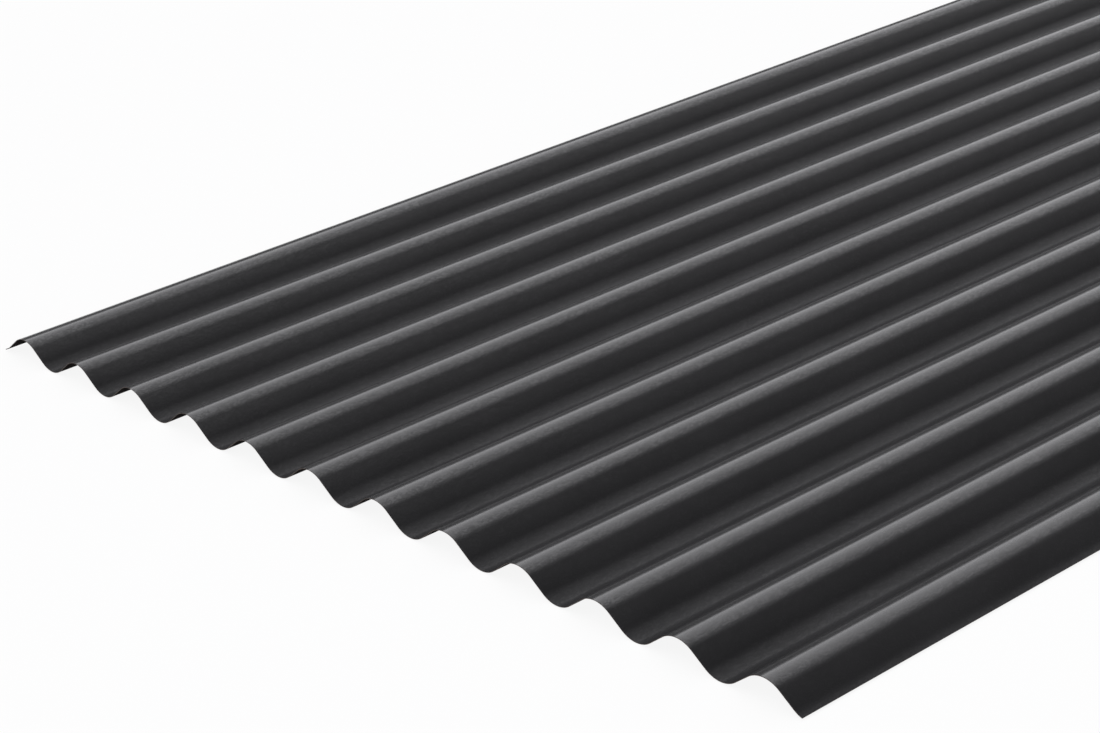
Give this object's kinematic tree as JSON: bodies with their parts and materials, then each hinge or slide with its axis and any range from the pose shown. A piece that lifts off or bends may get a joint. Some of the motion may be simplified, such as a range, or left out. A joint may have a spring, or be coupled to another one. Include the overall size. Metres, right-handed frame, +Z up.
{
  "type": "corrugated metal sheet",
  "caption": "Roll-formed corrugated steel sheet with round waves along its length and turned-down long edges, coated charcoal, for roofing and cladding.",
  "frame": {"origin": "middle of the sheet in plan, at the level of the trough undersides that it lies on", "axes": "+X across the waves, +Y along the waves, +Z up out of the weather face"},
  "size_m": [0.9002, 2, 0.0178],
  "materials": {
    "charcoal_paint": "satin-matt textured coating"
  },
  "bodies": {
    "root": {"corrugated_sheet": "charcoal_paint"}
  },
  "joints": []
}
